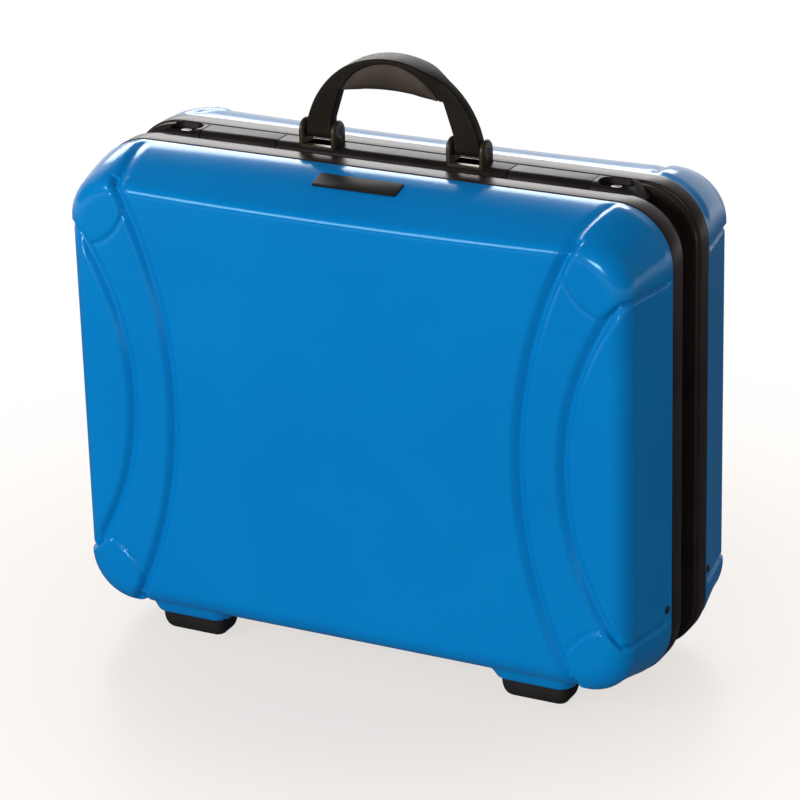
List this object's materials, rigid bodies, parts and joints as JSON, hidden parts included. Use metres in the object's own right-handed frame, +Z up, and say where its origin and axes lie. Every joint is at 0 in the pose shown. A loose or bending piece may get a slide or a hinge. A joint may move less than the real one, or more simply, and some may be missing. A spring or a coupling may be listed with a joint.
{
  "type": "hard tool case",
  "caption": "Hard-shell carrying case for hand tools: two grooved plastic shells in metal frames, hinged at the bottom, with flap latches, key locks and a folding handle",
  "frame": {"origin": "middle of the ground contact under the four feet, on the parting plane of the two halves", "axes": "+X along the width to the right seen from the lid, +Y from the lid to the base, +Z up"},
  "size_m": [0.4812, 0.198, 0.467],
  "materials": {
    "shell_blue": "semi-gloss moulded plastic",
    "frame_black": "black anodised, satin",
    "bar_black": "satin moulded plastic",
    "grip_black": "soft-touch grip",
    "rubber_black": "matt rubber",
    "rivet_black": "gloss black coating",
    "steel": "zinc-plated steel",
    "plug_chrome": "polished plate",
    "tray_grey": "textured moulded plastic",
    "board_grey": "textured sheet",
    "pocket_fabric": "coated woven cloth"
  },
  "bodies": {
    "base": {"base_shell": "shell_blue", "base_frame": "frame_black", "frame_seal": "rubber_black", "base_rivets": "rivet_black", "base_foot_left": "rubber_black", "base_foot_right": "rubber_black", "base_foot_screws": "steel", "base_tray": "tray_grey", "tray_dividers": "tray_grey", "centre_bar": "bar_black", "lock_housing_left": "bar_black", "lock_housing_right": "bar_black", "handle_yoke_left": "bar_black", "handle_yoke_right": "bar_black", "handle_pin_left": "steel", "handle_pin_right": "steel", "latch_pin_left": "steel", "latch_pin_right": "steel", "latch_spring_left": "steel", "latch_spring_right": "steel", "stay_pivot_left": "steel", "stay_pivot_right": "steel", "hinge_leaf_base_left": "steel", "hinge_leaf_base_right": "steel", "hinge_pin_left": "steel", "hinge_pin_right": "steel", "base_hinge_rivets": "steel"},
    "lid": {"lid_shell": "shell_blue", "lid_frame": "frame_black", "lid_rivets": "rivet_black", "badge_plate": "bar_black", "lid_foot_left": "rubber_black", "lid_foot_right": "rubber_black", "lid_foot_screws": "steel", "tool_board": "board_grey", "tool_pockets": "pocket_fabric", "board_clips": "board_grey", "latch_strike_left": "steel", "latch_strike_right": "steel", "stay_stud_left": "steel", "stay_stud_right": "steel", "hinge_leaf_lid_left": "steel", "hinge_leaf_lid_right": "steel", "lid_hinge_rivets": "steel"},
    "handle": {"handle_arch": "bar_black", "handle_grip": "grip_black"},
    "latch_left": {"latch_flap_left": "bar_black", "latch_claw_left": "steel"},
    "lock_left": {"key_plug_left": "plug_chrome", "lock_cam_left": "steel"},
    "stay_left": {"stay_arm_left": "steel"},
    "latch_right": {"latch_flap_right": "bar_black", "latch_claw_right": "steel"},
    "lock_right": {"key_plug_right": "plug_chrome", "lock_cam_right": "steel"},
    "stay_right": {"stay_arm_right": "steel"}
  },
  "joints": [
    {"name": "lid_hinge", "type": "hinge", "parent": "base", "child": "lid", "pos_m": [0, 0, 0.022], "axis": [1, 0, 0], "range_deg": [0, 95]},
    {"name": "handle_fold", "type": "hinge", "parent": "base", "child": "handle", "pos_m": [0, 0.001, 0.402], "axis": [1, 0, 0], "range_deg": [-90, 90]},
    {"name": "latch_left_lift", "type": "hinge", "parent": "base", "child": "latch_left", "pos_m": [-0.1305, 0.0089, 0.3888], "axis": [-1, 0, 0], "range_deg": [0, 80]},
    {"name": "lock_left_turn", "type": "hinge", "parent": "base", "child": "lock_left", "pos_m": [-0.181, 0.001, 0.383], "axis": [0, 0, -1], "range_deg": [0, 90]},
    {"name": "stay_left_swing", "type": "hinge", "parent": "base", "child": "stay_left", "pos_m": [-0.2187, 0.00868, 0.07124], "axis": [1, 0, 0], "range_deg": [0, 47.5]},
    {"name": "latch_right_lift", "type": "hinge", "parent": "base", "child": "latch_right", "pos_m": [0.1305, 0.0089, 0.3888], "axis": [-1, 0, 0], "range_deg": [0, 80]},
    {"name": "lock_right_turn", "type": "hinge", "parent": "base", "child": "lock_right", "pos_m": [0.181, 0.001, 0.383], "axis": [0, 0, 1], "range_deg": [0, 90]},
    {"name": "stay_right_swing", "type": "hinge", "parent": "base", "child": "stay_right", "pos_m": [0.2187, 0.00868, 0.07124], "axis": [1, 0, 0], "range_deg": [0, 47.5]}
  ],
  "couplings": [
    {"joint": "stay_left_swing", "follows": "lid_hinge", "ratio": 0.5},
    {"joint": "stay_right_swing", "follows": "lid_hinge", "ratio": 0.5}
  ]
}
